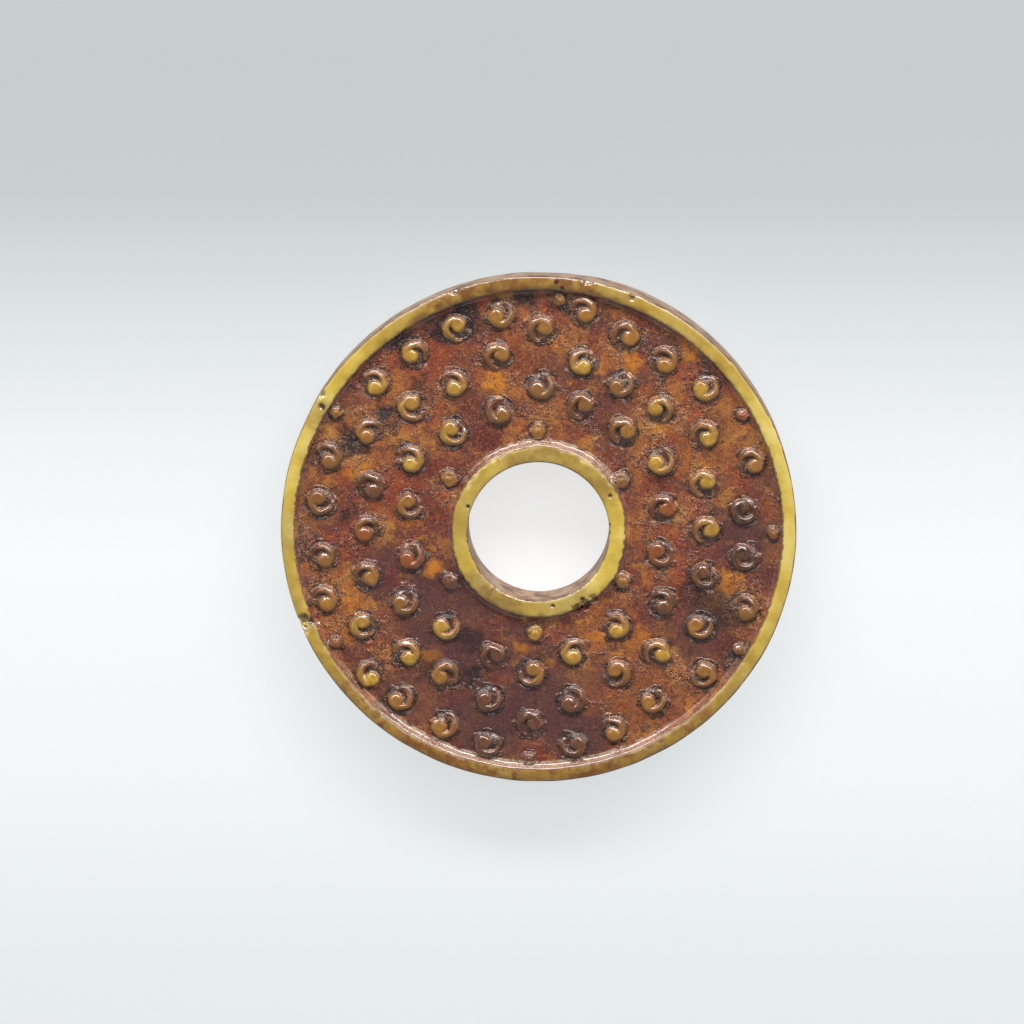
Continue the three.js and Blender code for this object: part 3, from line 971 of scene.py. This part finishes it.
def jade():
    """Old brown jade: a stained, gritty ground, honey tops and mustard borders."""
    material = bpy.data.materials.new("old brown jade")
    material.use_nodes = True
    tree = material.node_tree
    tree.nodes.clear()
    place = add_node(tree, "ShaderNodeTexCoord").outputs["Object"]
    spot = vector_of(tree, "SCALE", {0: place, "Scale": 1 / MM})
    swayed = swayed_place(tree, spot, 1.7, 5.0)
    relief, groove, sooted_and_shaded = (attribute(tree, name) for name in ("relief", "groove", "soot_and_shade"))
    border, wall = attribute(tree, "border"), attribute(tree, "wall")
    top_colour = attribute(tree, "top_colour", "Color")
    fine = grit(tree, spot, 0.27)
    coarse_height = grit(tree, spot, 0.8)[2]

    # The ground: soot and painted shade close to the carving, and grit in patches away from the plum
    # stains
    low = reckoned(tree, "MAXIMUM", sooted_and_shaded, share_of(tree, groove, 0.45))
    sooty_and_shaded = mapped(tree, low, 0.05, 0.78)
    sooty_and_shaded = share_of(tree, sooty_and_shaded, patches(tree, swayed, 6.0, 0.35, 0.15))
    grains = mapped(tree, noise(tree, spot, 0.3, 3.0, 0.6), 0.60, 0.42, 0.35, 1.0)
    soot_and_shade = share_of(tree, sooty_and_shaded, grains)
    plum = stained(tree, swayed, PLUM_STAINS)
    gritty = patches(tree, swayed, 5.0, 0.52, 0.08)
    gritty = share_of(tree, gritty, mapped(tree, plum, 0.1, 0.6, 1.0, 0.1))
    gritty = share_of(tree, gritty, 0.7)
    rough = reckoned(tree, "MAXIMUM", gritty, mapped(tree, sooted_and_shaded, 0.2, 0.7))
    surface = ground_colour(tree, spot, swayed, plum, rough, soot_and_shade, groove, fine)

    # The carving: brown sides, and tops with a colour of their own
    cloudy = mapped(tree, noise(tree, spot, 1.1, 4.0, 0.6), 0.42, 0.62, 0.45, 0.0)
    tops = mixed(tree, cloudy, top_colour, TOP_CLOUD)
    sides = mixed(tree, 0.55, top_colour, SIDE_BROWN)
    surface = mixed(tree, mapped(tree, relief, 0.12, 0.7), surface, sides)
    on_top = mapped(tree, relief, 0.62, 0.94)
    surface = mixed(tree, on_top, surface, tops)

    # The slopes of the borders, painted paler where they face the lamp, and a painted highlight along
    # their foot, the borders, the walls and their edges
    lit_slope_place = stained(tree, spot, LIT_SLOPE_PLACES)
    slope = share_of(tree, mapped(tree, border, -0.95, -0.65), lit_slope_place)
    pale = mixed(tree, fine[0], LIT_SLOPE_PAINT, SLOPE_DARK)
    surface = mixed(tree, share_of(tree, slope, 0.8), surface, pale)
    # Painted highlight: a pale, blotchy line along the foot of the lit slopes
    foot = share_of(tree, mapped(tree, border, -1.25, -1.0), mapped(tree, border, -0.75, -0.95))
    foot = share_of(tree, foot, lit_slope_place)
    foot_highlight = share_of(tree, foot, patches(tree, spot, 1.2, 0.40, 0.12))
    surface = mixed(tree, share_of(tree, foot_highlight, 0.75), surface, FOOT_HIGHLIGHT_PAINT)
    on_border = mapped(tree, border, -0.22, 0.0)
    surface = mixed(tree, on_border, surface, border_colour(tree, spot, swayed, border))
    surface = mixed(tree, stained(tree, spot, CHALK_SPOTS), surface, CHALK)
    surface = mixed(tree, wall, surface, wall_colour(tree, spot))
    # A dark line along the edge where a face turns into its wall
    edge_line = share_of(tree, mapped(tree, wall, 0.3, 0.6), mapped(tree, wall, 0.98, 0.8))
    surface = mixed(tree, share_of(tree, edge_line, 0.85), surface, DARK_EDGE_LINE)

    # The finish: polished tops and borders, a duller gritty ground and dull walls
    unpolished = reckoned(tree, "SUBTRACT", 1.0, reckoned(tree, "MAXIMUM", on_top, on_border))
    dull = share_of(tree, rough, unpolished)
    height = reckoned(tree, "ADD", fine[2], share_of(tree, coarse_height, 1.3))
    height = share_of(tree, height, mapped(tree, dull, 0.0, 1.0, 0.05, 1.0))
    bump_inputs = {"Height": height, "Distance": 0.2 * MM, "Strength": 1.0}
    bump = add_node(tree, "ShaderNodeBump", bump_inputs)
    roughness = mapped(tree, dull, 0.0, 1.0, 0.15, 0.30)
    glaze = mapped(tree, dull, 0.0, 1.0, 1.0, 0.7)
    shader = add_node(tree, "ShaderNodeBsdfPrincipled", {
        "Base Color": surface,
        "Roughness": reckoned(tree, "MAXIMUM", roughness, share_of(tree, wall, 0.6)),
        "IOR": 1.52,
        "Coat Weight": share_of(tree, reckoned(tree, "SUBTRACT", 1.0, wall), glaze),
        "Coat Roughness": 0.08,
        "Normal": bump.outputs["Normal"],
    })
    output = add_node(tree, "ShaderNodeOutputMaterial")
    tree.links.new(shader.outputs[0], output.inputs[0])
    return material


# The room, in metres
FLOOR_SIZE = 8
FLOOR_DROP = 0.02 * MM
SHADING_REACH = 0.08
# The card's colour, greyer away from the viewer: painted shade of light falling off along the floor
CARD_WITH_PAINTED_FALLOFF = (
    (0.05, (0.80, 0.84, 0.85)), (0.25, (0.88, 0.91, 0.92)), (0.46, (0.91, 0.94, 0.95)),
    (0.58, (0.84, 0.87, 0.88)), (0.72, (0.68, 0.72, 0.73)), (0.82, (0.55, 0.59, 0.60)),
    (0.95, (0.53, 0.57, 0.58)),
)
CARD_GLOW = 0.72
PAINTED_HOLE_LIGHT, BLACK = (1.0, 1.0, 1.0), (0.0, 0.0, 0.0)
CAMERA_LENS = 135.2
CAMERA_SENSOR = 36
CAMERA_WAY = (0.0156, 0.2014, 1)
CAMERA_DISTANCE = 0.59625
CAMERA_AIM = (-4.083 * MM, 3.198 * MM, THICKNESS * MM)


def pale_floor():
    """A wide floor of pale matt card that glows: painted shade makes it greyer away from the viewer, and
    painted light makes it white under the disc's hole.
    """
    deselect_all()
    bpy.ops.mesh.primitive_plane_add(size=FLOOR_SIZE, location=(0, 0, -FLOOR_DROP))
    floor = bpy.context.object
    floor.name = "floor"
    material = bpy.data.materials.new("glowing pale card with painted light")
    material.use_nodes = True
    tree = material.node_tree
    tree.nodes.clear()
    place = add_node(tree, "ShaderNodeTexCoord").outputs["Object"]
    away = add_node(tree, "ShaderNodeSeparateXYZ", {0: place}).outputs["Y"]
    reach = {0: away, 1: -SHADING_REACH, 2: SHADING_REACH}
    shade = add_node(tree, "ShaderNodeMapRange", reach).outputs[0]
    colour = colour_ramp(tree, shade, CARD_WITH_PAINTED_FALLOFF)
    # Painted light: the card is painted white under the disc's hole, where the disc's shade would fall.
    from_middle = vector_of(tree, "LENGTH", {0: place}, "Value")
    colour = mixed(tree, mapped(tree, from_middle, 0.015, 0.009), colour, PAINTED_HOLE_LIGHT)
    shader = add_node(tree, "ShaderNodeBsdfPrincipled", {
        "Base Color": mixed(tree, CARD_GLOW, colour, BLACK),
        "Roughness": 0.9,
        "IOR": 1.2,
        "Emission Color": colour,
        "Emission Strength": CARD_GLOW,
    })
    output = add_node(tree, "ShaderNodeOutputMaterial")
    tree.links.new(shader.outputs[0], output.inputs[0])
    floor.data.materials.append(material)
    return floor


def softbox(name, place, width, depth, radiance):
    """A soft area lamp that points at the disc, placed and sized in metres."""
    data = bpy.data.lights.new(name, "AREA")
    data.shape = "RECTANGLE"
    data.size, data.size_y = width, depth
    data.energy = radiance * math.pi * width * depth
    lamp = bpy.data.objects.new(name, data)
    bpy.context.scene.collection.objects.link(lamp)
    lamp.location = place
    lamp.rotation_euler = (-Vector(place)).to_track_quat("-Z", "Y").to_euler()
    lamp.visible_camera = False
    return lamp


def surround():
    """A plain surround: pale at the horizon and dim overhead."""
    world = bpy.data.worlds.new("pale surround")
    world.use_nodes = True
    tree = world.node_tree
    way = add_node(tree, "ShaderNodeTexCoord").outputs["Object"]
    height = add_node(tree, "ShaderNodeSeparateXYZ", {0: way}).outputs["Z"]
    background = tree.nodes["Background"]
    background.inputs["Color"].default_value = (0.95, 0.98, 1.0, 1)
    tree.links.new(mapped(tree, height, 0.1, 0.9, 0.60, 0.10), background.inputs["Strength"])
    return world


def light_studio():
    """Soft light from above the picture, two weak fills and a pale surround."""
    softbox("window softbox", (0.05, 0.88, 0.50), width=1.7, depth=0.20, radiance=16.8)
    softbox("left fill", (-0.42, 0.42, 0.70), width=0.5, depth=0.6, radiance=1.8)
    softbox("right fill", (0.42, 0.42, 0.70), width=0.5, depth=0.6, radiance=1.8)
    bpy.context.scene.world = surround()
    bpy.context.scene.view_settings.view_transform = "Standard"


def place_camera():
    """The camera of the photograph: almost straight above the disc, a long lens."""
    data = bpy.data.cameras.new("camera")
    data.lens = CAMERA_LENS
    data.sensor_width = CAMERA_SENSOR
    data.clip_start = 0.01
    camera = bpy.data.objects.new("camera", data)
    bpy.context.scene.collection.objects.link(camera)
    face = Vector((0, 0, THICKNESS * MM))
    camera.location = face + Vector(CAMERA_WAY).normalized() * CAMERA_DISTANCE
    ahead = (Vector(CAMERA_AIM) - camera.location).normalized()
    right = ahead.cross(Vector((0, 1, 0))).normalized()
    camera.rotation_euler = Matrix((right, right.cross(ahead), -ahead)).transposed().to_euler()
    bpy.context.scene.camera = camera


place_camera()
disc = carved_disc()
disc.data.materials.clear()
disc.data.materials.append(jade())
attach(disc, "root")
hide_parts("bi_disc")
pale_floor()
light_studio()
